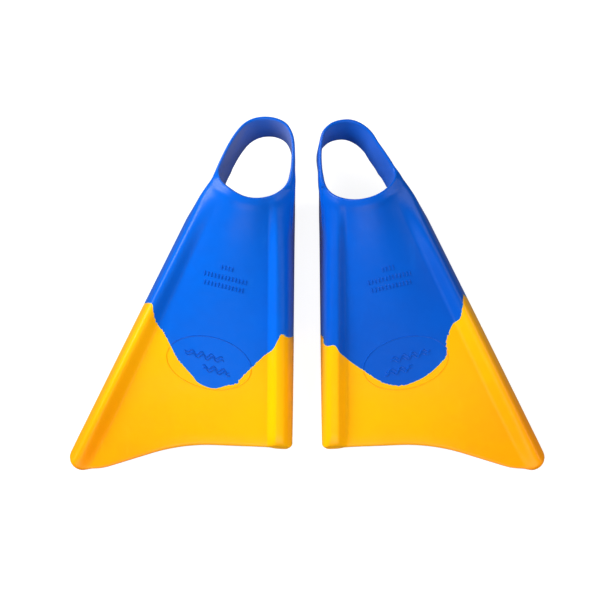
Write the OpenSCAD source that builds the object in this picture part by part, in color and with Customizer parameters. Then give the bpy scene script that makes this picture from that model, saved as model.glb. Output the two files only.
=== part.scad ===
// Pair of short, asymmetric swim fins for bodyboarding, lying flat with the top side up.
// The origin is on the floor, midway between the fins and midway along them. +Y points to the heels,
// +X to the left foot's fin. The left fin is drawn, and the right fin is its mirror image.
// Both fins move together or apart with half_gap, and keep their shape.

/* [Pair] */
// Half of the gap between the two fins, beside the heels
half_gap = 12; // [10:1:20]

/* [Foot pocket] */
// Thickness of the sole
sole_t = 6; // [5:0.5:7]
// Thickness of the cover over the instep and the toes
cover_t = 5; // [4:0.5:6]
// Thickness of the side wall along the inner edge
inner_wall_t = 8; // [7:0.5:9]
// Height of the cover's edge over the instep, above the floor
instep_h = 86; // [80:1:90]
// Diameter of each drain hole in the sole
drain_d = 12; // [6:1:16]

/* [Heel strap] */
// Thickness of the strap round the heel
strap_t = 3.8; // [3.2:0.2:4.4]
// Height of the strap's lower rim above the floor
strap_low = 37; // [35:1:39]
// Height of the strap's upper rim above the floor
strap_high = 72; // [70:1:74]

/* [Blade] */
// Depth of the recess under the web, between the rails
web_recess = 4; // [2:0.5:5]
// Height of the blade hinge above the floor
flex_z = 15; // [14:0.5:16]

/* [Hidden] */

// The fin is drawn for this half gap
drawn_gap = 12;

blue = "#0a5fd6";
yellow = "#fdbf08";

// Both hinges cross the foot at this angle, and so square to the fin's own middle line
splay = 13.6;
across = [cos(splay), sin(splay)];
back = [-sin(splay), cos(splay)];

// A point on the blade hinge, and the radius of the turning ends that meet in it
flex_at = [98, -114];
nose_r = 16.5;
rail_nose_r = 22;
// A point on the strap hinge, its height, and the radius of the strap's turning ends
strap_at = [53, 129.5];
strap_z = 56;
strap_nose_r = 25;
// Clearance between parts that turn against each other
clear = 0.3;

// Outer outline: the inner edge is almost along Y, and the outer edge spreads away from it
inner_foot = 13.3;
edge_lean = 0.009;
outer_foot = 171.6;
outer_slope = 0.5;
outer_cos = cos(atan(outer_slope));
// Distance from either edge to the crest of its rail, and to the foot of the rail's inward slope
wall_in = 5;
crest_in = 17;
rail_in = 32;
// Share of the rail's height at which the side wall ends and the rounded shoulder starts
wall_share = 0.7;

// Heights of the rail's crest, the step down to the panel, and the panel's crown, by Y
rail_heights = [[-188, 12], [-160, 18], [-125, 26], [-85, 35], [-50, 42], [0, 51], [50, 60],
    [90, 67], [115, 71.5], [135, 72]];
steps_down = [[-188, 4], [-160, 7], [-125, 9], [-85, 9], [-50, 8.5], [0, 7.5], [40, 5.5],
    [65, 3], [88, 0.6], [105, 0]];
crowns = [[-105, 0], [-85, 0.5], [-50, 2], [0, 5], [50, 10], [100, instep_h - lookup(100, rail_heights)]];
// The trailing edge, as Y by X, and how far the top falls towards it
trailing = [[15, -165.1], [100, -162.1], [125, -162.7], [150, -165.8], [175, -172.8], [200, -180.8],
    [220, -186], [245, -188.4]];
trailing_share = 0.6;
trailing_fall = 20;
// The recess under the web: how far it takes to deepen from the rails, and from the pocket at a Y
recess_side = 13;
recess_start = -92;
recess_run = 25;

function mix(a, b, t) = a + (b - a) * t;
function smooth(t) = let (s = max(0, min(1, t))) s * s * (3 - 2 * s);
function inner_x(y) = inner_foot - edge_lean * y;
function outer_x(y) = outer_foot - outer_slope * y;

// Height of the upper surface at a point of the plan
function shoulder(d) = d >= crest_in ? 0 : let (k = min(1, (crest_in - d) / (crest_in - wall_in)))
    (1 - wall_share) * (1 - sqrt(1 - k * k));
function top_z(p) = let (
        y = p[1],
        d1 = p[0] - inner_x(y),
        d2 = (outer_x(y) - p[0]) * outer_cos,
        crest = lookup(y, rail_heights),
        dip = lookup(y, steps_down),
        span = rail_in - crest_in,
        q = max(0, min(1, (d1 - wall_in) / max(1, d1 + d2 - 2 * wall_in))),
        end_fall = mix(trailing_share, 1, smooth((y - lookup(p[0], trailing)) / trailing_fall))
    )
    end_fall * (crest * (1 - shoulder(d1) - shoulder(d2))
        - dip * smooth((d1 - crest_in) / span) * smooth((d2 - crest_in) / span)
        + lookup(y, crowns) * 4 * q * (1 - q));
// Height of the underside: flat, but for the recess under the web, which runs out towards the pocket
function bottom_z(p) = let (
        d1 = p[0] - inner_x(p[1]),
        d2 = (outer_x(p[1]) - p[0]) * outer_cos
    )
    web_recess * smooth((d1 - crest_in) / recess_side) * smooth((d2 - crest_in) / recess_side)
        * smooth((recess_start - p[1]) / recess_run);

function flex_y(x) = flex_at[1] + (x - flex_at[0]) * tan(splay);
// A point in the plan at a distance toward the heel from the blade hinge
function behind_flex(x, d) = [x, flex_y(x) + d / cos(splay)];

// Corners of the pocket's plan: where the side walls meet the blade root, and the strap
inner_toe = [inner_x(-43), -43];
outer_toe = [outer_x(-3), -3];
inner_heel = [inner_x(130), 130];
outer_heel = [101.5, 132];
// Toe edge and rim of the instep cover, from the inner to the outer side
toe_line = [[32, -55], [42, -66], [55, -77], [70, -86], [86, -90], [102, -90], [117, -84],
    [129, -72], [138, -57]];
rim_line = [[21, 114], [27, 107.5], [34, 103.8], [43, 101.4], [52, 100.6], [61, 101.6],
    [69, 104.2], [77, 108.5], [84, 114]];
// Divisions of the cover and the side walls, across the foot and along it
spans = len(toe_line) - 1;
rows = 14;
// Where the side walls end, measured back from the strap hinge
wall_end = -8;
// Share of the way from the edge to the cover that each side wall's foot takes up
outer_wall_share = 0.66;
inner_wall_reach = 17;
inner_wall_share = inner_wall_t / inner_wall_reach;
// Height at which a side wall starts: the floor, and then rising to the strap behind the sole
wall_rise = 0.94;
rise_start = 91;
rise_run = 34;
function wall_low(y) = strap_low * wall_rise * smooth((y - rise_start) / rise_run);
// The sole's rear end, how deep its edge is hollowed there, and the divisions of the hollow
sole_rear = 90;
rear_hollow = 10;
hollow_steps = 6;
// Drain holes through the sole, near the toes
drains = [[66, -66], [100, -70]];

// A closed solid between two grids of points that have the same rows and columns
module slab(top, low) {
    m = len(top);
    n = len(top[0]);
    count = m * n;
    points = concat([for (row = top) each row], [for (row = low) each row]);
    // The faces turn the other way round where the rows and columns run left-handed
    r = floor(m / 2);
    c = floor(n / 2);
    facing = cross(top[r][c] - top[r][c - 1], top[r][c] - top[r - 1][c]) * (top[r][c] - low[r][c]);
    function at(i, j) = i * n + j;
    function quad(a, b, c, d) = facing > 0 ? [[a, c, b], [a, d, c]] : [[a, b, c], [a, c, d]];
    upper = [for (i = [0:m - 2]) for (j = [0:n - 2])
        each quad(at(i, j), at(i, j + 1), at(i + 1, j + 1), at(i + 1, j))];
    lower = [for (i = [0:m - 2]) for (j = [0:n - 2])
        each quad(count + at(i + 1, j), count + at(i + 1, j + 1), count + at(i, j + 1), count + at(i, j))];
    ends = [for (j = [0:n - 2]) each concat(
        quad(at(0, j + 1), at(0, j), count + at(0, j), count + at(0, j + 1)),
        quad(at(m - 1, j), at(m - 1, j + 1), count + at(m - 1, j + 1), count + at(m - 1, j)))];
    sides = [for (i = [0:m - 2]) each concat(
        quad(at(i, 0), at(i + 1, 0), count + at(i + 1, 0), count + at(i, 0)),
        quad(at(i + 1, n - 1), at(i, n - 1), count + at(i, n - 1), count + at(i + 1, n - 1)))];
    polyhedron(points, concat(upper, lower, ends, sides));
}

// Cylinder about the line through a point of the plan, square to the fin's middle line, between two
// distances from the point along it
module turning(at, z, r, from, to) {
    translate([at[0], at[1], z])
        rotate([0, 0, splay])
            rotate([0, 90, 0])
                translate([0, 0, from])
                    cylinder(h = to - from, r = r, $fn = 64);
}

// All that lies in front of a hinge (side < 0, toward the toes) or behind it, as a large block
block = [400, 200, 140];
module beyond(at, side, start) {
    translate([at[0], at[1], 0])
        rotate([0, 0, splay])
            translate([-block[0] / 2, side < 0 ? start - block[1] : start, -20])
                cube(block);
}

// How far the two hinges reach to either side of their points
flex_reach = [-150, 190];
strap_reach = [-80, 90];

// Foot pocket ------------------------------------------------------------------------------------

module sole() {
    inner_end = mix(inner_toe, toe_line[0], inner_wall_share);
    inner_far = mix(inner_heel, rim_line[0], inner_wall_share);
    outer_end = mix(outer_toe, toe_line[spans], outer_wall_share);
    outer_far = mix(outer_heel, rim_line[spans], outer_wall_share);
    // The point at a Y on the line through two points
    function along(a, b, y) = mix(a, b, (y - a[1]) / (b[1] - a[1]));
    inner_rear = along(inner_end, inner_far, sole_rear);
    outer_rear = along(outer_end, outer_far, sole_rear);
    hollow = [for (k = [1:hollow_steps - 1])
        mix(outer_rear, inner_rear, k / hollow_steps) - [0, rear_hollow * sin(180 * k / hollow_steps)]];
    color(blue)
        difference() {
            linear_extrude(sole_t)
                polygon(concat([inner_end], toe_line, [outer_end, outer_rear], hollow, [inner_rear]));
            for (hole = drains)
                translate([hole[0], hole[1], -1])
                    cylinder(h = sole_t + 2, d = drain_d, $fn = 48);
        }
}

module instep_cover() {
    plan = [for (i = [0:rows]) [for (j = [0:spans]) mix(toe_line[j], rim_line[j], i / rows)]];
    color(blue)
        slab([for (row = plan) [for (p = row) [p[0], p[1], top_z(p)]]],
            [for (row = plan) [for (p = row) [p[0], p[1], top_z(p) - cover_t]]]);
}

// Side wall from the edge's two ends to the cover's two ends; share is its thickness in plan
module side_wall(edge0, edge1, crest0, crest1, share) {
    // Six points up each face, as shares of the way from the edge to the cover
    outside = [0, 0.14, 0.3, 0.45, 0.65, 1];
    inside = [share, share, share + 0.02, mix(share, 1, 0.3), mix(share, 1, 0.65), 1];
    // The inside's heights: the lowest two in millimetres, the others as shares of the cover's height
    heights = [0, sole_t, 0.45, 0.72, 0.9, 1];
    function lifted(z, low, high) = low + z * (high - low) / high;
    plan = [for (i = [0:rows]) [mix(edge0, edge1, i / rows), mix(crest0, crest1, i / rows)]];
    outer = [for (c = plan) [for (k = [0:5]) let (
            p = mix(c[0], c[1], outside[k]),
            high = top_z(c[1]),
            wall = k < 2 ? wall_share * high * outside[k] / outside[2] : top_z(p)
        ) [p[0], p[1], lifted(wall, wall_low(p[1]), high)]]];
    inner = [for (c = plan) [for (k = [0:5]) let (
            p = mix(c[0], c[1], inside[k]),
            high = top_z(c[1]),
            z = k < 2 ? heights[k] : heights[k] * (high - cover_t)
        ) [p[0], p[1], lifted(z, wall_low(p[1]), high)]]];
    difference() {
        slab(outer, inner);
        turning(strap_at, strap_z, strap_nose_r + clear, strap_reach[0], strap_reach[1]);
        beyond(strap_at, 1, wall_end);
    }
}

module inner_wall() {
    color(blue)
        side_wall(inner_toe, inner_heel, toe_line[0], rim_line[0], inner_wall_share);
}

module outer_wall() {
    color(blue)
        side_wall(outer_toe, outer_heel, toe_line[spans], rim_line[spans], outer_wall_share);
}

// Heel strap -------------------------------------------------------------------------------------

// Round of the heel: its centre and radius, and how far it is drawn out towards the outer side
heel_at = [42.4, 156.3];
heel_r = 26;
heel_stretch = 2;
// The strap runs straight beside the heel: the inner side by Y, the outer side in steps
inner_side = [16.4, [96, 108, 120, 132, 144]];
outer_turn = 30;
outer_step = 13;
// Where the strap thickens towards its root in the outer wall, and by how much
root_grow = 5;
// How far the strap's upper rim lies behind its lower one, over this height
strap_lean = [1.5, 14];
lean_rise = 35;
// Path of the strap's inner face at its upper rim, and the outward direction at each point
strap_path = concat(
    [for (y = inner_side[1]) [[inner_side[0], y], [-1, 0]]],
    [for (a = [180:-15:outer_turn])
        [heel_at + heel_r * [cos(a), sin(a)] + [heel_stretch * smooth((120 - a) / 60), 0],
            [cos(a), sin(a)]]],
    [for (k = [1:4]) [heel_at + [heel_stretch, 0] + heel_r * [cos(outer_turn), sin(outer_turn)]
        + outer_step * k * [sin(outer_turn), -cos(outer_turn)], [cos(outer_turn), sin(outer_turn)]]]
);

module heel_strap() {
    // The rims are rounded: shares of the height, and of the thickness there
    levels = [0, 0.12, 0.88, 1];
    thins = [0.35, 1, 1, 0.35];
    function root(p) = root_grow * smooth((p[0] - 50) / 20) * smooth((150 - p[1]) / 30);
    function face(side) = [for (s = strap_path) [for (k = [0:3]) let (
            z = mix(strap_low, strap_high, levels[k]),
            grow = strap_t + root(s[0]),
            out = side > 0 ? grow * mix(0.5, 1, thins[k]) : grow * (0.5 - 0.5 * thins[k]),
            p = s[0] + out * s[1] + strap_lean * (z - strap_high) / lean_rise
        ) [p[0], p[1], z]]];
    color(blue)
        intersection() {
            slab(face(1), face(-1));
            union() {
                turning(strap_at, strap_z, strap_nose_r, strap_reach[0], strap_reach[1]);
                beyond(strap_at, 1, 0);
            }
        }
}

// Blade ------------------------------------------------------------------------------------------

// The lines between the rails and the web, from the trailing edge to this far behind the hinge
join_end = 24;
inner_join = [[46, lookup(46, trailing)], behind_flex(44.5, join_end)];
outer_join = [[214, lookup(214, trailing)], behind_flex(186, join_end)];
web_rows = 8;
web_spans = 10;
root_rows = 6;

// The rounded hollow in the blade root, wider where the outer rail turns in it
rail_from = 86;
module socket() {
    turning(flex_at, flex_z, nose_r + clear, flex_reach[0], flex_reach[1]);
    turning(flex_at, flex_z, rail_nose_r + clear, rail_from, flex_reach[1]);
}

module blade_root() {
    edge = concat([inner_toe, mix(inner_toe, toe_line[0], inner_wall_share)], toe_line,
        [for (share = [outer_wall_share, 0.3]) mix(outer_toe, toe_line[spans], share)], [outer_toe]);
    last = len(edge) - 1;
    front_in = inner_x(-134);
    front_out = outer_x(-80);
    // The front row keeps the rear row's distances from the two edges
    front = [for (p = edge) let (
            d = (p[0] - edge[0][0]) / (edge[last][0] - edge[0][0])
        ) behind_flex(mix(front_in, front_out, d), 0)];
    plan = [for (i = [0:root_rows]) [for (j = [0:last]) mix(front[j], edge[j], i / root_rows)]];
    // Low along the two sides, where the rounded edge of the blade starts
    function height(p, j) = j == 0 || j == last ? 3 : top_z(p);
    color(yellow)
        difference() {
            slab([for (row = plan) [for (j = [0:last]) [row[j][0], row[j][1], height(row[j], j)]]],
                [for (row = plan) [for (p = row) [p[0], p[1], 0]]]);
            socket();
        }
}

// What turns with the blade: all that is in front of the hinge, and a round end inside the socket
module turned_end(r) {
    intersection() {
        children();
        union() {
            turning(flex_at, flex_z, r, flex_reach[0], flex_reach[1]);
            beyond(flex_at, -1, 0);
        }
    }
}

module blade_web() {
    plan = [for (i = [0:web_rows]) [for (j = [0:web_spans]) let (
            x = mix(inner_join[0][0], outer_join[0][0], j / web_spans),
            far = mix(inner_join[1], outer_join[1], j / web_spans)
        ) mix([x, lookup(x, trailing)], far, i / web_rows)]];
    color(yellow)
        turned_end(nose_r)
            slab([for (row = plan) [for (p = row) [p[0], p[1], top_z(p)]]],
                [for (row = plan) [for (p = row) [p[0], p[1], bottom_z(p)]]]);
}

// A rail between points along its outer edge and points along its join with the web
module rail(edge, join) {
    // Across the rail the points lie closer together on the rounded shoulder
    shares = [0, 0.08, 0.17, 0.3, 0.53, 0.76, 1];
    plan = [for (i = [0:len(edge) - 1]) [for (s = shares) mix(edge[i], join[i], s)]];
    function rise(row, k) = k == 0 ? 2 : k == 1 ? 0.55 * top_z(row[2]) : top_z(row[k]);
    slab([for (row = plan) [for (k = [0:6]) [row[k][0], row[k][1], rise(row, k)]]],
        [for (row = plan) [for (p = row) [p[0], p[1], bottom_z(p)]]]);
}

module inner_rail() {
    // Stations along the rail, as shares of its length from the trailing edge
    ts = [0, 0.04, 0.12, 0.3, 0.5, 0.7, 0.85, 1];
    far = behind_flex(inner_x(-110), join_end);
    corner = [inner_x(-155), -155];
    edge = concat([[21.5, -165], [15.8, -162]],
        [for (k = [2:7]) mix(corner, far, (ts[k] - ts[2]) / (1 - ts[2]))]);
    join = [for (t = ts) mix(inner_join[0], inner_join[1], t)];
    color(yellow)
        turned_end(nose_r)
            rail(edge, join);
}

module outer_rail() {
    ts = [0, 0.03, 0.07, 0.12, 0.2, 0.35, 0.5, 0.65, 0.8, 0.9, 1];
    far = [outer_x(-55), -55];
    tip = [outer_x(-164), -164];
    edge = concat([[232, -188], [244, -187.6], [252.3, -183], [255.2, -175]],
        [for (k = [4:10]) mix(tip, far, (ts[k] - ts[4]) / (1 - ts[4]))]);
    join = [for (t = ts) mix(outer_join[0], outer_join[1], t)];
    color(yellow)
        turned_end(rail_nose_r)
            rail(edge, join);
}

module left() {
    translate([half_gap - drawn_gap, 0, 0])
        children();
}

module right() {
    mirror([1, 0, 0])
        left()
            children();
}

left() sole();  // left_sole
left() instep_cover();  // left_instep_cover
left() inner_wall();  // left_inner_wall
left() outer_wall();  // left_outer_wall
left() heel_strap();  // left_heel_strap
left() blade_root();  // left_blade_root
left() blade_web();  // left_blade_web
left() inner_rail();  // left_inner_rail
left() outer_rail();  // left_outer_rail
right() sole();  // right_sole
right() instep_cover();  // right_instep_cover
right() inner_wall();  // right_inner_wall
right() outer_wall();  // right_outer_wall
right() heel_strap();  // right_heel_strap
right() blade_root();  // right_blade_root
right() blade_web();  // right_blade_web
right() inner_rail();  // right_inner_rail
right() outer_rail();  // right_outer_rail
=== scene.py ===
"""Looks of a pair of short swim fins: two blue foot pockets with heel straps and two yellow blades.

Shapes are worked out in millimetres for the left foot's fin, which lies on the +X side, as a solid field
that is negative inside. The right foot's fin is its mirror image, with a colour line of its own.
"""

import math

import bpy
import numpy as np
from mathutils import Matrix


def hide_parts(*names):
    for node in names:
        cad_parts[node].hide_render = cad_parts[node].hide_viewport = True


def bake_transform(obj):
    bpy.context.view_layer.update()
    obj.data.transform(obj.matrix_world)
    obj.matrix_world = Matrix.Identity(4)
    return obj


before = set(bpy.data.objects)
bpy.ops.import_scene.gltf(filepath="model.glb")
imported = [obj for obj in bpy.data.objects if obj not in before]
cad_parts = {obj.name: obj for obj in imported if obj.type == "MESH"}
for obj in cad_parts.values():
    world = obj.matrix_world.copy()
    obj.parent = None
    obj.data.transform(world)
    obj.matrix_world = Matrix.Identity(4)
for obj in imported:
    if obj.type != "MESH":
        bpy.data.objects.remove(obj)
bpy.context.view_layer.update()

MM = 0.001
STEP = 1.25  # spacing of the grid that the skins are taken from
SPLAY = math.radians(13.6)  # angle of both hinges to X

# ---------------------------------------------------------------- camera

CAMERA_HEIGHT = 2.0
FLOOR_SEEN = 0.6468  # width of floor across the picture
CAMERA_OVER = (-0.0077, -0.0048)  # the place that the camera looks straight down on

camera_data = bpy.data.cameras.new("camera")
camera = bpy.data.objects.new("camera", camera_data)
bpy.context.scene.collection.objects.link(camera)
camera.location = (*CAMERA_OVER, CAMERA_HEIGHT)
camera_data.sensor_width = 36
camera_data.lens = camera_data.sensor_width * CAMERA_HEIGHT / FLOOR_SEEN
bpy.context.scene.camera = camera

# ---------------------------------------------------------------- plan curves


def smooth(t):
    """A smooth step from 0 to 1 as t goes from 0 to 1."""
    t = np.clip(t, 0, 1)
    return t * t * (3 - 2 * t)


def smax(a, b, k):
    """The larger of two fields, with the crease between them rounded over a width k."""
    h = np.clip(1 - np.abs(a - b) / k, 0, None)
    return np.maximum(a, b) + h * h * k * 0.25


def smin(a, b, k):
    """The smaller of two fields, rounded in the same way."""
    return -smax(-a, -b, k)


def curve(t, keys):
    """A smooth curve through (place, value) pairs."""
    xs, ys = np.array(keys, float).T
    slopes = np.gradient(ys, xs)
    i = np.clip(np.searchsorted(xs, t) - 1, 0, len(xs) - 2)
    w = xs[i + 1] - xs[i]
    u = np.clip((t - xs[i]) / w, 0, 1)
    u2, u3 = u * u, u * u * u
    return (
        (2 * u3 - 3 * u2 + 1) * ys[i]
        + (u3 - 2 * u2 + u) * w * slopes[i]
        + (3 * u2 - 2 * u3) * ys[i + 1]
        + (u3 - u2) * w * slopes[i + 1]
    )


def rounded(corners, steps=14):
    """Points of a closed outline whose corners (x, y, radius) are rounded by arcs."""
    points = []
    n = len(corners)
    for i, (cx, cy, r) in enumerate(corners):
        c = np.array([cx, cy])
        a = np.array(corners[i - 1][:2]) - c
        b = np.array(corners[(i + 1) % n][:2]) - c
        a, b = a / np.hypot(*a), b / np.hypot(*b)
        half = math.acos(np.clip(a @ b, -1, 1)) / 2
        middle = (a + b) / np.hypot(*(a + b))
        centre = c + middle * r / math.sin(half)
        start = c + a * r / math.tan(half) - centre
        end = c + b * r / math.tan(half) - centre
        a0, a1 = math.atan2(start[1], start[0]), math.atan2(end[1], end[0])
        turn = (a1 - a0 + math.pi) % (2 * math.pi) - math.pi
        for k in range(steps + 1):
            angle = a0 + turn * k / steps
            points.append(centre + r * np.array([math.cos(angle), math.sin(angle)]))
    return np.array(points)


def spline(points, per=8, closed=False):
    """A smooth line through points."""
    p = np.array(points, float)
    if closed:
        p = np.vstack([p[-1], p, p[:2]])
    else:
        p = np.vstack([2 * p[0] - p[1], p, 2 * p[-1] - p[-2]])
    out = []
    for i in range(1, len(p) - 2):
        for u in np.arange(per) / per:
            out.append(
                0.5
                * (
                    2 * p[i]
                    + (p[i + 1] - p[i - 1]) * u
                    + (2 * p[i - 1] - 5 * p[i] + 4 * p[i + 1] - p[i + 2]) * u**2
                    + (3 * p[i] - p[i - 1] - 3 * p[i + 1] + p[i + 2]) * u**3
                )
            )
    out.append(p[-2])
    return np.array(out)


class Chart:
    """Distance to a closed outline, positive inside it, kept on a grid and read between its points."""

    PITCH = 0.8
    LOW = np.array([-10.0, -215.0])
    COUNT = (361, 525)

    def __init__(self, outline):
        x = (self.LOW[0] + self.PITCH * np.arange(self.COUNT[0]))[:, None]
        y = (self.LOW[1] + self.PITCH * np.arange(self.COUNT[1]))[None, :]
        x, y = np.broadcast_arrays(x, y)
        near = np.full(x.shape, 1e9)
        inside = np.zeros(x.shape, bool)
        for a, b in zip(outline, np.roll(outline, -1, axis=0)):
            e = b - a
            if e @ e < 1e-12:
                continue
            t = np.clip(((x - a[0]) * e[0] + (y - a[1]) * e[1]) / (e @ e), 0, 1)
            near = np.minimum(near, (x - a[0] - t * e[0]) ** 2 + (y - a[1] - t * e[1]) ** 2)
            if a[1] != b[1]:
                crosses = (a[1] > y) != (b[1] > y)
                inside ^= crosses & (x < a[0] + e[0] * (y - a[1]) / e[1])
        self.values = np.where(inside, 1, -1) * np.sqrt(near)

    def __call__(self, x, y):
        u = np.clip((x - self.LOW[0]) / self.PITCH, 0, self.COUNT[0] - 1.001)
        v = np.clip((y - self.LOW[1]) / self.PITCH, 0, self.COUNT[1] - 1.001)
        i, j = u.astype(int), v.astype(int)
        u, v = u - i, v - j
        g = self.values
        low = g[i, j] * (1 - u) + g[i + 1, j] * u
        high = g[i, j + 1] * (1 - u) + g[i + 1, j + 1] * u
        return low * (1 - v) + high * v


# ---------------------------------------------------------------- the fin's dimensions

WALL_IN = 5  # how far a side wall leans in by the height where its shoulder starts
WALL_SHARE = 0.7  # that height, as a share of the rail's
INNER_CREST, OUTER_CREST = 18, 13  # distance from an edge to its rail's crest
INNER_FOOT, OUTER_FOOT = 29, 28.5  # distance from an edge to the foot of the rail's inward slope
OUTLINE_LEAN = 0.05  # how far the whole outline leans in for each millimetre of height
SOLE, COVER = 6, 5  # thickness under the foot and over it
RECESS, RECESS_FROM = 4.5, -88  # depth of the hollow under the web, and the Y where it starts
WALL_END = 132  # the side walls end at this Y
RISE_FROM, RISE_RUN = 84, 40  # behind this Y the walls' lower edge rises to the strap over this distance
ROLL, ROLL_IN, ROLL_WIDTH = 0.9, 8, 4  # height of the roll round the opening, its distance and its width
STRAP, STRAP_ROOT = 4.4, 3  # thickness of the strap, and what is added at its outer root
STRAP_LOW, STRAP_HIGH = 37, 72  # heights of the strap's two rims
STRAP_FROM = 114  # the strap starts inside the walls at this Y
OPENING_FROM = 82  # the opening and the strap lie behind this Y
DRAINS, DRAIN_RADIUS = [(66, -66), (100, -70)], 6  # holes through the sole

# Heights of the rails' crests, the step from them down to the panel, and the panel's crown, by Y
RAIL_HEIGHTS = [
    (-188, 12), (-160, 18), (-125, 26), (-85, 35), (-50, 42), (0, 51), (50, 60), (90, 67), (115, 71.5),
    (135, 72),
]
STEPS_DOWN = [
    (-188, 4), (-160, 7), (-125, 9), (-85, 9), (-50, 8.5), (0, 8), (40, 7.5), (65, 6), (88, 3),
    (105, 0.5), (118, 0), (135, 0),
]
CROWNS = [(-125, 0), (-105, 0), (-85, 0.8), (-50, 3), (0, 7.5), (50, 12.5), (100, 18), (130, 20)]

OUTER_SLOPE = 0.5
OUTER_COS = math.cos(math.atan(OUTER_SLOPE))


def inner_x(y):
    """The fin's inner edge on the floor, which runs almost along Y."""
    return 13.3 - 0.009 * y


def outer_x(y):
    """The fin's outer edge on the floor, which spreads away from the inner one."""
    return 171.6 - OUTER_SLOPE * y


# Corners are x, y and radius. The trailing edge is shared by the outline and by a chart of that edge
# alone, whose other sides lie far away.
TRAIL_Y = -165.9
TRAIL_CORNERS = [(133.8, -160.3, 200), (219.2, -187.2, 60)]
OUTLINE = Chart(
    rounded(
        [
            (inner_x(TRAIL_Y), TRAIL_Y, 9), *TRAIL_CORNERS, (265.3, -189.5, 15), (outer_x(84), 84, 90),
            (88, 140, 20), (60, 160, 10), (inner_x(160), 160, 10),
        ]
    )
)
TRAIL = Chart(
    rounded([(-80, TRAIL_Y, 5), *TRAIL_CORNERS, (330, -192.4, 5), (330, 300, 5), (-80, 300, 5)])
)
TRAIL_NOSE = 15  # the top rounds down to the trailing edge over this distance
TRAIL_LIP = 8.5  # height of the trailing edge where that rounding starts from it
# The hollow for the foot
HOLLOW = Chart(
    rounded(
        [
            (19, 128, 5), (23, -50, 30), (52, -90, 30), (122, -92, 34), (150, -38, 30), (107, 84, 60),
            (84, 128, 5),
        ]
    )
)
# The opening for the ankle at its upper rim, from the inner side over the heel to the outer side and
# the instep. The two soft straps sit a little differently.
OPENINGS = {
    "left": [
        (16, 148), (18.3, 166), (23, 173.5), (31, 178.3), (43.5, 179.8), (54.7, 176), (64, 168.2),
        (70.6, 158), (78, 147.5), (86, 135), (89.6, 126), (88, 118), (83.5, 112), (75.5, 106.3),
        (65, 102), (53, 99.8), (42, 100.3), (32, 103), (24.5, 107.8), (19.4, 115.5), (17, 127),
    ],
    "right": [
        (17.4, 148), (17.8, 161), (20.2, 170), (25, 177), (33.7, 181.2), (44, 182.6), (54.5, 181.2),
        (63, 177), (70, 170), (77.5, 159), (85.4, 144), (90.6, 131.5), (89.8, 122), (86, 115),
        (75.4, 107.5), (65, 102.8), (54.6, 101.1), (44, 102.1), (33.8, 105.6), (25.5, 111.8),
        (20.7, 119.5), (18.6, 131),
    ],
}
# How far a strap's lower rim lies in front of its upper one: across at the inner side, across at the
# outer side, and lengthways
LEANS = {"left": (4, 6, 17), "right": (0.5, 5, 16.5)}
PROUD = {"left": 1.8, "right": 0.3}  # how far a strap's inner root stands out past the inner wall


def top_height(x, y):
    """Height of the upper surface over a place in plan."""
    d_in, d_out = x - inner_x(y), (outer_x(y) - x) * OUTER_COS
    crest = curve(y, RAIL_HEIGHTS)

    # The shoulders tighten towards the strap
    fall = (1 - WALL_SHARE) * (1 - 0.8 * smooth((y - 70) / 45))

    def shoulder(d, at):
        # An arc that stops just short of upright, where its slope would have no end
        k = np.clip((at - d) / (at - WALL_IN + 1.5), 0, 0.97)
        return fall * (1 - np.sqrt(1 - k * k))

    step = smooth((d_in - INNER_CREST) / (INNER_FOOT - INNER_CREST))
    step = step * smooth((d_out - OUTER_CREST) / (OUTER_FOOT - OUTER_CREST))
    q = np.clip((d_in - WALL_IN) / np.maximum(1, d_in + d_out - 2 * WALL_IN), 0, 1)
    return (
        crest * (1 - shoulder(d_in, INNER_CREST) - shoulder(d_out, OUTER_CREST))
        - curve(y, STEPS_DOWN) * step
        + curve(y, CROWNS) * (4 * q * (1 - q)) ** 1.5
    )


def plan(x, y):
    """What depends on the place in plan alone."""
    e = 0.5
    d_in, d_out = x - inner_x(y), (outer_x(y) - x) * OUTER_COS
    top = top_height(x, y)
    sx = (top_height(x + e, y) - top_height(x - e, y)) / (2 * e)
    sy = (top_height(x, y + e) - top_height(x, y - e)) / (2 * e)
    web = smooth((d_in - 14) / 16) * smooth((d_out - 14) / 16) * smooth((RECESS_FROM - y) / 30)
    # The top rounds down to the trailing edge
    near = np.clip(1 - TRAIL(x, y) / TRAIL_NOSE, 0, 1)
    drop = 1 - np.sqrt(1 - near * near)
    return {
        "d": OUTLINE(x, y),
        "d_in": d_in,
        "d_out": d_out,
        "crest": curve(y, RAIL_HEIGHTS),
        "top": top + np.minimum(0, TRAIL_LIP - top) * drop,
        "slope": np.sqrt(1 + np.clip(sx * sx + sy * sy, 0, 9)),
        "low": RECESS * web,
        "hollow": HOLLOW(x, y),
    }


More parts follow.
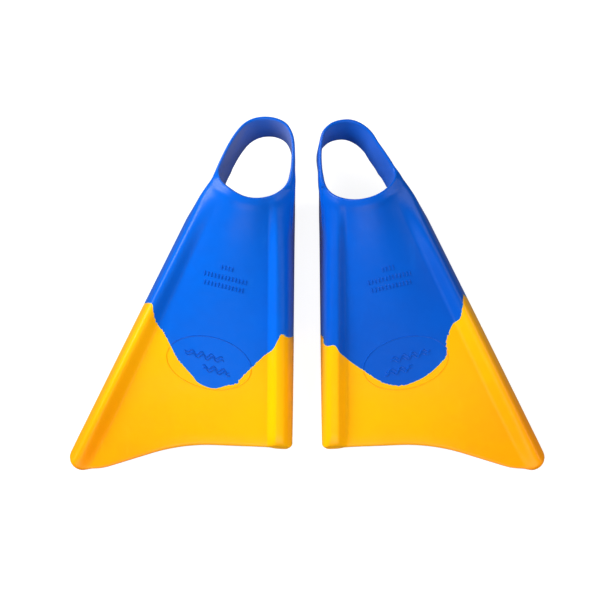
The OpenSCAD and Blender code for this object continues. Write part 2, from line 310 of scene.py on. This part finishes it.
def fin_field(opening, lean_in, lean_out, lean_y, proud):
    """The field of a whole fin: negative inside the rubber, in millimetres.

    The last number of each smax and smin is the width that the edge between the two is rounded over. In
    smooth((place - start) / length), a change sets in at start and is complete after length.
    """

    def field(x, y, z):
        p = plan(x, y)
        lean = WALL_IN * np.clip(z / (WALL_SHARE * p["crest"]), 0, 1.3)
        upright = 1 - smooth((y - 55) / 50)
        side = np.maximum(lean * upright - p["d_in"], lean - p["d_out"])
        # The outline leans in a little with height, and less at the strap's roots
        leaning = 1 - smooth((y - 80) / 35) * (1 - 0.5 * smooth((x - 30) / 30))
        side = np.maximum(side, OUTLINE_LEAN * z * leaning - p["d"])
        # A low roll runs round the opening
        roll = ROLL * np.exp(-(((opening(x, y) + ROLL_IN) / ROLL_WIDTH) ** 2)) * smooth((118 - y) / 10)
        top = (z - p["top"] - roll) / p["slope"]
        # The walls' lower edge rises behind the sole, whose rear end is a little hollow
        across = (p["d_in"] - p["d_out"]) / (p["d_in"] + p["d_out"])
        rise = STRAP_LOW * smooth((y - RISE_FROM - 6 * across * across) / RISE_RUN)
        low = np.maximum(p["low"], rise) - z
        solid = smax(smax(side, top, 5), low * np.where(rise > p["low"], 0.75, 1), 4)
        hollow = smax(smax(-p["hollow"], SOLE - z, 6), top + COVER, 9)
        solid = smax(solid, -hollow, 3)
        for at in DRAINS:
            drain = DRAIN_RADIUS - np.hypot(x - at[0], y - at[1])
            solid = smax(solid, np.minimum(drain, SOLE + 6 - z), 1.5)
        if np.max(y) < OPENING_FROM:
            return solid
        solid = smax(solid, y - WALL_END, 12)
        # The strap's lean starts at its roots, and sooner under the rim on the outer side
        h = (np.clip(z, 30, 90) - STRAP_HIGH) / (STRAP_HIGH - STRAP_LOW)
        sooner = smooth((x - 62) / 16) * (h < 0)
        h = h * smooth((y - 100 + 12 * sooner) / (35 - 10 * sooner))
        lean_x = lean_in * smooth((y - 122) / 30)
        lean_x = lean_x + (lean_out - lean_x) * smooth((x - 12) / 45)
        loop = opening(x - lean_x * h, y - lean_y * h)
        thick = STRAP + STRAP_ROOT * smooth((x - 52) / 26) * smooth((138 - y) / 24)
        band = np.maximum(np.abs(loop + thick / 2) - thick / 2, STRAP_FROM - y)
        band = smax(band, np.maximum(STRAP_LOW - z, z - STRAP_HIGH), 3)
        whole = smax(smin(solid, band, 5), loop, 3)
        # The inner side stays almost straight where the strap grows out of the wall
        return smax(whole, -proud - p["d_in"] - np.clip((y - 130) / 5, 0, 10), 2)

    return field


# ---------------------------------------------------------------- skins from fields


def gradient(field, p, e=0.25):
    """The field's slope at each point, along X, Y and Z."""
    g = np.empty_like(p)
    for k in range(3):
        step = np.zeros(3)
        step[k] = e
        g[:, k] = (field(*(p + step).T) - field(*(p - step).T)) / (2 * e)
    return g


ROWS = 16  # the grid is filled this many rows at a time
TURNS = 4  # how often the points are moved onto the surface
FARTHEST = 1.2  # how far they may move in all, in grid steps


def skin(field, cut, low, high, step):
    """Points and quads of the surface of field cut off where cut is positive, crisp along the cut.

    Each grid cell that the surface passes through gets one point, which is then moved onto the surface.
    """
    axes = [np.arange(a, b + step, step) for a, b in zip(low, high)]
    shape = [len(a) for a in axes]
    f = np.empty(shape, np.float32)
    g = np.empty(shape, np.float32)
    z = axes[2][None, None, :]
    for first in range(0, shape[1], ROWS):
        rows = slice(first, first + ROWS)
        xx, yy = np.broadcast_arrays(axes[0][:, None, None], axes[1][None, rows, None])
        f[:, rows] = field(xx, yy, z)
        g[:, rows] = cut(xx, yy, z)
    both = np.maximum(f, g)
    inside = both < 0
    corners = [(i, j, k) for i in (0, 1) for j in (0, 1) for k in (0, 1)]

    def corner(a, c):
        return a[tuple(slice(v, size - 1 + v) for v, size in zip(c, a.shape))]

    count = sum(corner(inside, c).astype(np.int8) for c in corners)
    mixed = (count > 0) & (count < 8)
    cells = np.argwhere(mixed)
    number = np.full(mixed.shape, -1, np.int64)
    number[mixed] = np.arange(len(cells))
    at = np.zeros((len(cells), 3))
    hits = np.zeros(len(cells))
    value = {c: both[tuple((cells + c).T)].astype(float) for c in corners}
    for c in corners:
        for k in range(3):
            if c[k]:
                continue
            d = tuple(v + (m == k) for m, v in enumerate(c))
            a, b = value[c], value[d]
            hit = (a < 0) != (b < 0)
            t = np.where(hit, a / np.where(hit, a - b, 1), 0)
            place = np.array(c, float) + t[:, None] * (np.arange(3) == k)
            at += place * hit[:, None]
            hits += hit
    at = (cells + at / hits[:, None]) * step + np.array(low)

    def changes(a):
        v = np.stack([a[tuple((cells + c).T)] for c in corners])
        return (v.min(0) < 0) & (v.max(0) > 0)

    # Points on the surface go to it along its slope, and those where it meets the cut go to both
    crease = changes(f) & changes(g)
    on_cut = ~crease & (cut(*at.T) > field(*at.T))
    on_skin = ~crease & ~on_cut
    start = at.copy()
    for _ in range(TURNS):
        for pick, one in ((on_skin, field), (on_cut, cut)):
            q = at[pick]
            if len(q):
                n = gradient(one, q)
                at[pick] = q - n * (one(*q.T) / np.maximum((n * n).sum(1), 0.05))[:, None]
        q = at[crease]
        if len(q):
            n, m = gradient(field, q), gradient(cut, q)
            fv, gv = field(*q.T), cut(*q.T)
            nn, mm, nm = (n * n).sum(1), (m * m).sum(1), (n * m).sum(1)
            det = np.maximum(nn * mm - nm * nm, 0.02)
            a, b = (fv * mm - gv * nm) / det, (gv * nn - fv * nm) / det
            at[crease] = q - a[:, None] * n - b[:, None] * m
        move = at - start
        far = np.linalg.norm(move, axis=1, keepdims=True)
        at = start + move * np.minimum(1, FARTHEST * step / np.maximum(far, 1e-9))

    # A quad joins the four cells round each grid line that the surface crosses
    quads = []
    for k in range(3):
        a, b = (k + 1) % 3, (k + 2) % 3
        first = [slice(1, -1)] * 3
        first[k] = slice(0, -1)
        second = [slice(1, -1)] * 3
        second[k] = slice(1, None)
        p, q = inside[tuple(first)], inside[tuple(second)]
        for flip, change in ((False, p & ~q), (True, ~p & q)):
            e = np.argwhere(change)
            if not len(e):
                continue
            e[:, [m for m in range(3) if m != k]] += 1
            around = []
            for da, db in ((0, 0), (-1, 0), (-1, -1), (0, -1)):
                c = e.copy()
                c[:, a] += da
                c[:, b] += db
                around.append(number[tuple(c.T)])
            ring = np.stack(around, 1)
            quads.append(ring[:, ::-1] if flip else ring)
    return at, np.concatenate(quads)


def solid_piece(name, points, quads, normals, mirrored, **values):
    """A mesh object in metres from points in millimetres.

    It keeps each point's place at rest, and the named values, for its material. Faces that lie on the
    fin's surface take its exact normals, so that the skins meet without a visible line.
    """
    flip = np.array([-1, 1, 1]) if mirrored else np.ones(3)
    points, normals = points * MM * flip, normals * flip
    if mirrored:
        quads = quads[:, ::-1]
    mesh = bpy.data.meshes.new(name)
    mesh.vertices.add(len(points))
    mesh.vertices.foreach_set("co", points.astype(np.float32).ravel())
    mesh.loops.add(quads.size)
    mesh.loops.foreach_set("vertex_index", quads.astype(np.int32).ravel())
    mesh.polygons.add(len(quads))
    mesh.polygons.foreach_set("loop_start", np.arange(0, quads.size, 4, dtype=np.int32))
    mesh.update(calc_edges=True)
    mesh.shade_smooth()
    mesh.set_sharp_from_angle(angle=math.radians(50))
    a, b, c, d = (points[quads[:, k]] for k in range(4))
    across = np.cross(c - a, d - b)
    across /= np.maximum(np.linalg.norm(across, axis=1, keepdims=True), 1e-12)
    own = normals[quads]
    facing = (own * across[:, None, :]).sum(2, keepdims=True)
    corners = np.where(facing > 0.6, own, across[:, None, :])
    mesh.normals_split_custom_set(corners.reshape(-1, 3).tolist())
    rest = mesh.attributes.new("rest", "FLOAT_VECTOR", "POINT")
    rest.data.foreach_set("vector", points.astype(np.float32).ravel())
    for key, value in values.items():
        mesh.attributes.new(key, "FLOAT", "POINT").data.foreach_set("value", value.astype(np.float32))
    obj = bpy.data.objects.new(name, mesh)
    bpy.context.scene.collection.objects.link(obj)
    return obj


def bead(line, normals, width, height):
    """Points, quads and normals of a closed thin bead that runs along a line on a surface."""
    line, normals = np.array(line), np.array(normals)
    along = np.gradient(line, axis=0)
    along /= np.linalg.norm(along, axis=1, keepdims=True)
    across = np.cross(along, normals)
    n = len(line)
    # It tapers to nothing over its first and last rings
    size = np.sqrt(np.clip(np.minimum(np.arange(n), n - 1 - np.arange(n)) / 2, 0.02, 1))
    turn = np.arange(BEAD_SIDES) * 2 * math.pi / BEAD_SIDES
    u = (np.cos(turn) * width / 2)[None, :, None] * size[:, None, None]
    v = (np.sin(turn) * height)[None, :, None] * size[:, None, None]
    points = line[:, None] + across[:, None] * u + normals[:, None] * v
    out = across[:, None] * np.cos(turn)[None, :, None] + normals[:, None] * np.sin(turn)[None, :, None]
    i, k = np.meshgrid(np.arange(n - 1), np.arange(BEAD_SIDES), indexing="ij")
    j = (k + 1) % BEAD_SIDES
    here, there = i * BEAD_SIDES, (i + 1) * BEAD_SIDES
    quads = np.stack([here + k, here + j, there + j, there + k], 2)
    caps = []
    for first, order in ((0, -1), ((n - 1) * BEAD_SIDES, 1)):
        ring = first + np.arange(BEAD_SIDES)[::order]
        caps += [[ring[0], ring[m], ring[m + 1], ring[m + 2]] for m in range(1, BEAD_SIDES - 2, 2)]
    return points.reshape(-1, 3), np.vstack([quads.reshape(-1, 4), caps]), out.reshape(-1, 3)


# ---------------------------------------------------------------- where the skins are cut

# A point on each hinge, in plan
STRAP_AT = np.array([53.0, 129.5])
BACK = np.array([-math.sin(SPLAY), math.cos(SPLAY)])
STRAP_BEND = (16, 20)  # the strap's skin is cut off the first distance in front of the hinge; the second, behind it, is not used for the shape


def behind(at, x, y):
    """Distance toward the heel from the hinge through a point."""
    return (x - at[0]) * BACK[0] + (y - at[1]) * BACK[1]


# The line between the blue and the yellow rubber, from the inner edge round the toes to the outer edge
LEFT_LINE = [
    (5, -41), (16, -43), (19, -53), (29, -53), (35, -61), (47, -71), (62, -81), (73, -88.5), (86, -94.5),
    (101, -96), (116, -91), (127, -85), (137, -76.5), (147.5, -64), (147, -50), (149.5, -40), (154, -30),
    (161, -24), (163, -12), (165, 1), (171, -1.5), (190, -4),
]
RIGHT_LINE = [
    (5, -41), (19, -44.5), (27, -41), (32, -49), (37, -57.5), (49, -66.5), (58.5, -76), (71, -88),
    (75, -94), (86, -96), (98, -99), (108, -97), (117, -92), (122, -85.5), (134, -71.5), (140, -63),
    (144.5, -53.5), (153, -37.5), (159.5, -28), (162, -17), (163, -9), (169, -8), (190, -10),
]


def colour_field(points):
    """Distance from the colour line in plan: positive on the yellow side, negative on the blue."""
    chart = Chart(np.vstack([spline(points), [(190, 200), (-5, 200), (-5, -41)]]))

    def yellow_side(x, y, z):
        return -chart(x, y) + 0 * z

    return yellow_side


def strap_side(x, y, z):
    """Distance behind the line where the strap's skin starts."""
    return behind(STRAP_AT, x, y) + STRAP_BEND[0] + 0 * z


# ---------------------------------------------------------------- raised marks

BEAD_SIDES = 8
OVAL_AT, OVAL_HALF = np.array([104.5, -71.5]), (45.7, 27.6)
HINGEWARD = np.array([math.cos(SPLAY), math.sin(SPLAY)])  # across the fin, along its hinge lines
# Rows of waves inside the oval: their middle and half length
WAVES = [((109.8, -62.2), 21), ((109, -65.4), 21), ((97.4, -78), 15), ((96.6, -81.2), 15)]
WAVE_LENGTH, WAVE_HEIGHT = 10.5, 2.2
# Rows of short bars on the instep, which stand in for size lettering: their middle and how many
BARS = [((84, 28.3), 4), ((85.9, 18.4), 13), ((87.8, 9.6), 12)]
BAR_PITCH, BAR_LENGTH = 3.7, 5.0
OVAL_BEAD, MARK_BEAD = (1.2, 0.45), (1.5, 0.75)  # width and height of the raised lines


def drape(field, plan_points):
    """Points on the upper surface over points in plan, and the surface's normals there."""
    x, y = np.array(plan_points, float).T
    p = np.stack([x, y, top_height(x, y)], 1)
    for _ in range(3):
        p[:, 2] -= field(*p.T) / np.maximum(gradient(field, p)[:, 2], 0.3)
    n = gradient(field, p)
    return p, n / np.linalg.norm(n, axis=1, keepdims=True)


def placed_row(middle, along, over):
    """Plan points from distances along and across a row that is parallel to the hinge line."""
    return np.array(middle) + np.outer(along, HINGEWARD) + np.outer(over, BACK)


def join(parts):
    """One set of points, quads and normals from several."""
    counts = np.cumsum([0] + [len(part[0]) for part in parts[:-1]])
    return (
        np.vstack([part[0] for part in parts]),
        np.vstack([part[1] + count for part, count in zip(parts, counts)]),
        np.vstack([part[2] for part in parts]),
    )


def mark_beads(field, yellow):
    """The marks of one fin: the oval's parts on the blue and on the yellow, and the waves and bars."""
    turn = np.linspace(0, 2 * math.pi, 241)
    oval = placed_row(OVAL_AT, OVAL_HALF[0] * np.cos(turn), OVAL_HALF[1] * np.sin(turn))
    on_yellow = yellow(oval[:, 0], oval[:, 1], 0) > 0
    start = np.flatnonzero(on_yellow[:-1] != on_yellow[1:])[0] + 1
    oval = np.roll(oval[:-1], -start, axis=0)
    on_yellow = np.roll(on_yellow[:-1], -start)
    breaks = np.flatnonzero(on_yellow[:-1] != on_yellow[1:]) + 1
    oval_parts = {True: [], False: []}
    for piece in np.split(np.arange(len(oval)), breaks):
        if len(piece) > 3:
            oval_parts[bool(on_yellow[piece[0]])].append(bead(*drape(field, oval[piece]), *OVAL_BEAD))
    rows = []
    for middle, half in WAVES:
        u = np.linspace(-half, half, int(half * 5))
        swell = WAVE_HEIGHT * np.sqrt(1 - (u / half) ** 2 * 0.7)
        v = swell * np.sin(2 * math.pi * u / WAVE_LENGTH)
        rows.append(bead(*drape(field, placed_row(middle, u, v)), *MARK_BEAD))
    for middle, count in BARS:
        for k in range(count):
            u = (k - (count - 1) / 2) * BAR_PITCH + np.zeros(11)
            v = np.cos(np.linspace(0, math.pi, 11)) * BAR_LENGTH / 2
            rows.append(bead(*drape(field, placed_row(middle, u, v)), *MARK_BEAD))
    return {
        "oval_blue": join(oval_parts[False]),
        "oval_yellow": join(oval_parts[True]),
        "raised_marks": join(rows),
    }


# ---------------------------------------------------------------- making the pieces

LOOP_MIDDLE = np.array([46.0, 142.0])  # the middle of the strap's loop in plan
DUST_AND_SHEEN = {"left": 0.2, "right": 1.0}  # the right foot's strap gets more of the paler colour inside, for dust and a painted sheen


def loop_dust(points, normals):
    """How much paler colour is painted on the inside of the strap, for dust and a painted sheen on the
    upright walls that face inward: the most on its two sides.
    """
    inward = LOOP_MIDDLE - points[:, :2]
    inward /= np.linalg.norm(inward, axis=1, keepdims=True)
    facing = smooth(((inward * normals[:, :2]).sum(1) - 0.1) / 0.5)
    sideways = 0.35 + 0.65 * smooth(np.abs(points[:, 0] - LOOP_MIDDLE[0]) / 30)
    upright = 1 - smooth((normals[:, 2] - 0.5) / 0.35)
    return facing * sideways * upright * smooth((points[:, 1] - 98) / 14)


# The corners of the grid round the whole fin, and the spacing for the thin strap
LOW = (5, -194, -3)
HIGH = (262, 190, 92)
STRAP_STEP = 1.0
pieces = {}
for side, line, mirrored in (("left", LEFT_LINE, False), ("right", RIGHT_LINE, True)):
    fin = fin_field(Chart(spline(OPENINGS[side], 5, closed=True)), *LEANS[side], PROUD[side])
    yellow = colour_field(line)

    def pocket_cut(x, y, z):
        return np.maximum(yellow(x, y, z), strap_side(x, y, z))

    def blade_cut(x, y, z):
        return -yellow(x, y, z)

    def strap_cut(x, y, z):
        return -strap_side(x, y, z)

    parts = (
        ("pocket_skin", pocket_cut, (LOW[0], -104, LOW[2]), (184, 134, HIGH[2])),
        ("blade_skin", blade_cut, LOW, (HIGH[0], 12, 66)),
        ("strap_skin", strap_cut, (LOW[0], 84, 2), (120, HIGH[1], HIGH[2])),
    )
    for name, cut, low, high in parts:
        points, quads = skin(fin, cut, low, high, STRAP_STEP if name == "strap_skin" else STEP)
        normals = gradient(fin, points)
        normals /= np.maximum(np.linalg.norm(normals, axis=1, keepdims=True), 1e-6)
        pieces[side, name] = solid_piece(
            f"{side}_{name}", points, quads, normals, mirrored,
            seam=-yellow(*points.T), dust=loop_dust(points, normals) * DUST_AND_SHEEN[side],
        )
    for name, made in mark_beads(fin, yellow).items():
        pieces[side, name] = solid_piece(f"{side}_{name}", *made, mirrored)

# ---------------------------------------------------------------- materials


class Graph:
    """Short calls for building a material's nodes."""

    def __init__(self, name):
        self.material = bpy.data.materials.new(name)
        self.material.use_nodes = True
        self.tree = self.material.node_tree
        self.shader = self.tree.nodes["Principled BSDF"]

    def node(self, kind, inputs=(), **settings):
        """A node whose inputs are linked to sockets or set to values."""
        made = self.tree.nodes.new(kind)
        for key, value in settings.items():
            setattr(made, key, value)
        for key, value in dict(inputs).items():
            if isinstance(value, bpy.types.NodeSocket):
                self.tree.links.new(value, made.inputs[key])
            else:
                made.inputs[key].default_value = value
        return made

    def maths(self, operation, a, b=0.0, clamp=False):
        made = self.node("ShaderNodeMath", {0: a, 1: b}, operation=operation, use_clamp=clamp)
        return made.outputs[0]

    def ramp(self, value, low, high, to_low=0.0, to_high=1.0):
        """A smooth step of value from low to high."""
        made = self.node(
            "ShaderNodeMapRange",
            {"Value": value, "From Min": low, "From Max": high, "To Min": to_low, "To Max": to_high},
            interpolation_type="SMOOTHSTEP",
        )
        return made.outputs["Result"]

    def noise(self, place, scale, detail=2.0, roughness=0.5, stretch=None):
        if stretch:
            place = self.node("ShaderNodeMapping", {"Vector": place, "Scale": stretch}).outputs[0]
        made = self.node(
            "ShaderNodeTexNoise",
            {"Vector": place, "Scale": scale, "Detail": detail, "Roughness": roughness},
        )
        return made.outputs["Fac"]

    def mix(self, share, a, b):
        made = self.node("ShaderNodeMix", {0: share, 6: a, 7: b}, data_type="RGBA")
        return made.outputs[2]

    def bump(self, height, distance, strength=1.0, normal=None):
        inputs = {"Height": height, "Distance": distance, "Strength": strength}
        if normal:
            inputs["Normal"] = normal
        return self.node("ShaderNodeBump", inputs).outputs[0]


# Each rubber's own tint, a deeper one and a worn one
BLUES = ((0.0, 0.113, 0.63, 1), (0.0, 0.066, 0.43, 1), (0.0, 0.155, 0.69, 1))
YELLOWS = ((1.0, 0.46, 0.0, 1), (1.0, 0.32, 0.0, 1), (1.0, 0.52, 0.01, 1))
GREEN = (0.02, 0.42, 0.36, 1)  # where the two mix
DUST_AND_SHEEN_BLUE = (0.1, 0.145, 0.4, 1)  # paler, greyer blue painted inside a strap, for dust and a painted sheen
GLOSS = 0.14
SHEEN, SHEEN_ROUGHNESS = 0.05, 0.35


def tinted(g, tint, scuff, own, deep, worn, deeper):
    """One rubber's colour: uneven, deeper where deeper says, and paler where it is scuffed."""
    share = g.maths("ADD", g.ramp(tint, 0.34, 0.72, 0, 0.25), deeper, clamp=True)
    return g.mix(g.ramp(scuff, 0.6, 0.78, 0, 0.3), g.mix(share, own, deep), worn)


def shaded_mark_colour(g, place, own, deep):
    """A raised mark's colour: painted a little darker than its rubber, in a mottled way, a painted shade
    so that the thin line reads dark.
    """
    return g.mix(g.ramp(g.noise(place, 300, 3, 0.6), 0.3, 0.7, 0.5, 0.95), own, deep)


def two_colours(g, place, tint, scuff):
    """Blue and yellow, which feather into each other in teeth over a thin mixed line."""
    split = g.node("ShaderNodeSeparateXYZ", {"Vector": place})
    across, along = split.outputs["X"], split.outputs["Y"]
    # The left fin's blue is painted a little deeper, a painted shade because it lies farther from the
    # key light, and a paler blue for dust and a painted sheen lies inside the straps
    blue = tinted(g, tint, scuff, *BLUES, g.ramp(across, -0.005, 0.005, 0, 0.5))
    # A paler, greyer blue for dust and a painted sheen, painted where the strap's upright inner walls
    # face inward
    dust = g.node("ShaderNodeAttribute", attribute_name="dust").outputs["Fac"]
    blue = g.mix(g.maths("MULTIPLY", dust, g.ramp(scuff, 0.35, 0.65, 0.75, 1.0)), blue, DUST_AND_SHEEN_BLUE)
    # The yellow is painted redder towards the blade's tip and its outer edge, a painted shade for where
    # it lies in less light
    out = g.maths("MULTIPLY", g.maths("ABSOLUTE", across), 0.7)
    tipward_shade = g.maths("ADD", out, g.maths("MULTIPLY", along, -0.8))
    yellow = tinted(g, tint, scuff, *YELLOWS, g.ramp(tipward_shade, 0.12, 0.33, 0, 0.9))
    seam = g.node("ShaderNodeAttribute", attribute_name="seam").outputs["Fac"]
    teeth = g.ramp(g.noise(place, 50, 1), 0.42, 0.6, 0.6, 5.0)
    wander = g.maths("MULTIPLY", g.maths("SUBTRACT", g.noise(place, 450, 2, 0.7), 0.5), teeth)
    over = g.maths("ADD", seam, wander)
    return g.mix(g.ramp(over, 0.0, 0.3), g.mix(g.ramp(over, -0.35, 0.0), yellow, GREEN), blue)


def rubber(name, marks=None):
    """Satin moulded rubber with a grain: both colours, or one rubber's colours for raised marks."""
    g = Graph(name)
    place = g.node("ShaderNodeAttribute", attribute_name="rest").outputs["Vector"]
    cloud = g.maths("MULTIPLY", g.noise(place, 14, 3), 0.7)
    tint = g.maths("ADD", cloud, g.maths("MULTIPLY", g.noise(place, 90, 4, 0.6), 0.3))
    scuff = g.noise(place, 60, 5, 0.65, stretch=(1.0, 0.12, 1.0))
    colour = shaded_mark_colour(g, place, *marks[:2]) if marks else two_colours(g, place, tint, scuff)
    waviness = g.bump(g.noise(place, 45, 2), 0.0012, 0.35)
    normal = g.bump(g.noise(place, 1500, 2, 0.6), 0.00025, 0.3, waviness)
    rough = g.maths("ADD", g.ramp(tint, 0.35, 0.7, 0.28, 0.36), g.ramp(scuff, 0.55, 0.8, 0, 0.12))
    for value, socket in ((colour, "Base Color"), (rough, "Roughness"), (normal, "Normal")):
        g.tree.links.new(value, g.shader.inputs[socket])
    g.shader.inputs["Specular IOR Level"].default_value = GLOSS
    g.shader.inputs["Sheen Weight"].default_value = SHEEN
    g.shader.inputs["Sheen Roughness"].default_value = SHEEN_ROUGHNESS
    return g.material


blue_rubber = rubber("blue_rubber")
yellow_rubber = rubber("yellow_rubber")
blue_mark = rubber("blue_mark_rubber", BLUES)
yellow_mark = rubber("yellow_mark_rubber", YELLOWS)

for side in ("left", "right"):
    sign = -1 if side == "right" else 1

    def placed(at, along):
        x, y = at + along * BACK
        return (sign * x * MM, y * MM, 0)

    for name, material, slot in (
        ("pocket_skin", blue_rubber, "blue_rubber"),
        ("blade_skin", yellow_rubber, "yellow_rubber"),
        ("oval_blue", blue_mark, "blue_rubber"),
        ("oval_yellow", yellow_mark, "yellow_rubber"),
        ("raised_marks", blue_mark, "blue_rubber"),
    ):
        piece = pieces[side, name]
        piece.data.materials.append(material)
        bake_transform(piece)
    strap = pieces[side, "strap_skin"]
    strap.data.materials.append(blue_rubber)
    placed(STRAP_AT, STRAP_BEND[1])
    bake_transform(strap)
    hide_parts(*(f"{side}_{n}" for n in ("sole", "instep_cover", "inner_wall", "outer_wall")))
    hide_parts(*(f"{side}_{n}" for n in ("blade_root", "blade_web", "inner_rail", "outer_rail")))
    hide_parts(f"{side}_heel_strap")

# ---------------------------------------------------------------- floor and light

FLOOR_REACH = 40  # far enough that the floor ends at the horizon in low views

floor_mesh = bpy.data.meshes.new("floor")
ends = [(x * FLOOR_REACH, y * FLOOR_REACH, 0) for x, y in ((-1, -1), (1, -1), (1, 1), (-1, 1))]
floor_mesh.from_pydata(ends, [], [(0, 1, 2, 3)])
floor = bpy.data.objects.new("floor", floor_mesh)
floor.location.z = -0.0005  # just below the soles, so that the two don't flicker
bpy.context.scene.collection.objects.link(floor)
floor_material = bpy.data.materials.new("floor")
floor_material.use_nodes = True
floor_shader = floor_material.node_tree.nodes["Principled BSDF"]
floor_shader.inputs["Base Color"].default_value = (0.25, 0.25, 0.25, 1)
floor_shader.inputs["Roughness"].default_value = 1
floor_shader.inputs["Specular IOR Level"].default_value = 0
floor_shader.inputs["Emission Color"].default_value = (1, 1, 1, 1)
floor_shader.inputs["Emission Strength"].default_value = 0.9
floor_mesh.materials.append(floor_material)
floor.visible_diffuse = False
floor.visible_glossy = False

# The studio is bright overhead and dark towards the floor
world = bpy.data.worlds.new("studio")
bpy.context.scene.world = world
world.use_nodes = True
sky = world.node_tree.nodes["Background"]
tree = world.node_tree
heading = tree.nodes.new("ShaderNodeTexCoord")
direction = tree.nodes.new("ShaderNodeSeparateXYZ")
fade = tree.nodes.new("ShaderNodeMapRange")
fade.interpolation_type = "SMOOTHSTEP"
for key, value in (("From Min", -0.35), ("From Max", 0.55), ("To Min", 0.1), ("To Max", 0.14)):
    fade.inputs[key].default_value = value
tree.links.new(heading.outputs["Generated"], direction.inputs[0])
tree.links.new(direction.outputs["Z"], fade.inputs["Value"])
tree.links.new(fade.outputs["Result"], sky.inputs["Strength"])
sky.inputs["Color"].default_value = (1, 1, 1, 1)


def lamp(name, at, size, power):
    """A square soft box that faces the fins."""
    data = bpy.data.lights.new(name, "AREA")
    data.size = size
    data.energy = power
    obj = bpy.data.objects.new(name, data)
    obj.location = at
    obj.rotation_euler = (-obj.location).to_track_quat("-Z", "Y").to_euler()
    bpy.context.scene.collection.objects.link(obj)


# Places and sizes in metres, and power in watts
lamp("key_light", (-1.6, 0.6, 1.1), 1.0, 60)
lamp("fill_light", (1.6, 0.2, 1.2), 1.4, 22)
lamp("front_light", (-0.2, -1.8, 1.1), 1.4, 22)
bpy.context.scene.view_settings.view_transform = "Standard"
